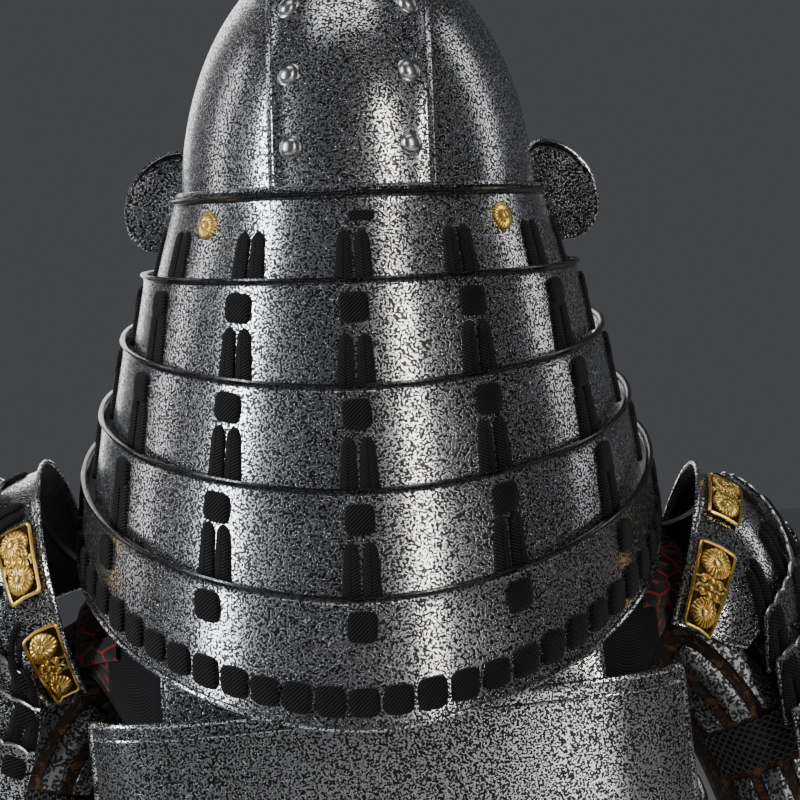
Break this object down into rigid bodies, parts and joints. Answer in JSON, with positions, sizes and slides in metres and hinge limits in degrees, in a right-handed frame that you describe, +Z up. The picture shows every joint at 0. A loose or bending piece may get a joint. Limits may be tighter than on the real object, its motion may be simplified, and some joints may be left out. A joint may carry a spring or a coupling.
{
  "type": "samurai armour",
  "caption": "Laced iron plate armour as worn: helmet with neck guard, cuirass, shoulder guards, sleeves, skirt, thigh apron and shin guards",
  "frame": {"origin": "base of the neck on the shoulder line, where the wearer's shoulders carry the armour", "axes": "+Z up, the wearer faces -Y, the wearer's left is +X"},
  "size_m": [0.6958, 0.427, 1.6841],
  "materials": {
    "iron": "black and silver crackle lacquer",
    "lace": "braided cord",
    "gilt": "gilt, satin",
    "twill": "black twill",
    "hexagon_cloth": "black cloth with red hexagon lines",
    "brocade": "brown and gold scroll brocade with mail"
  },
  "bodies": {
    "root": {"helmet_bowl": "iron", "crown_strip": "iron", "bowl_band": "iron", "visor": "iron", "neck_plate_1": "iron", "neck_plate_2": "iron", "neck_plate_3": "iron", "neck_plate_4": "iron", "neck_plate_5": "iron", "neck_lacing_1": "lace", "neck_lacing_2": "lace", "neck_lacing_3": "lace", "neck_lacing_4": "lace", "boss_left": "gilt", "boss_right": "gilt", "cuirass_back": "iron", "cuirass_front": "iron", "nape_plate": "iron", "shoulder_strap_left": "iron", "shoulder_strap_right": "iron", "yoke_left": "twill", "yoke_right": "twill", "shoulder_pad_left": "hexagon_cloth", "shoulder_pad_right": "hexagon_cloth", "guard_tie_left": "lace", "guard_tie_right": "lace", "guard_cap_left": "iron", "guard_cap_right": "iron", "guard_lame_left_1": "iron", "guard_lame_left_2": "iron", "guard_lame_left_3": "iron", "guard_lame_right_1": "iron", "guard_lame_right_2": "iron", "guard_lame_right_3": "iron", "guard_lacing_left_1": "lace", "guard_lacing_left_2": "lace", "guard_lacing_left_3": "lace", "guard_lacing_right_1": "lace", "guard_lacing_right_2": "lace", "guard_lacing_right_3": "lace", "gold_mount_left_1": "gilt", "gold_mount_left_2": "gilt", "gold_mount_right_1": "gilt", "gold_mount_right_2": "gilt", "sleeve_left": "brocade", "sleeve_right": "brocade", "hand_guard_left": "iron", "hand_guard_right": "iron", "tasset_1": "iron", "tasset_2": "iron", "tasset_3": "iron", "tasset_4": "iron", "tasset_5": "iron", "tasset_6": "iron", "tasset_7": "iron", "apron_left": "brocade", "apron_right": "brocade", "shin_guard_left": "iron", "shin_guard_right": "iron"}
  },
  "joints": []
}
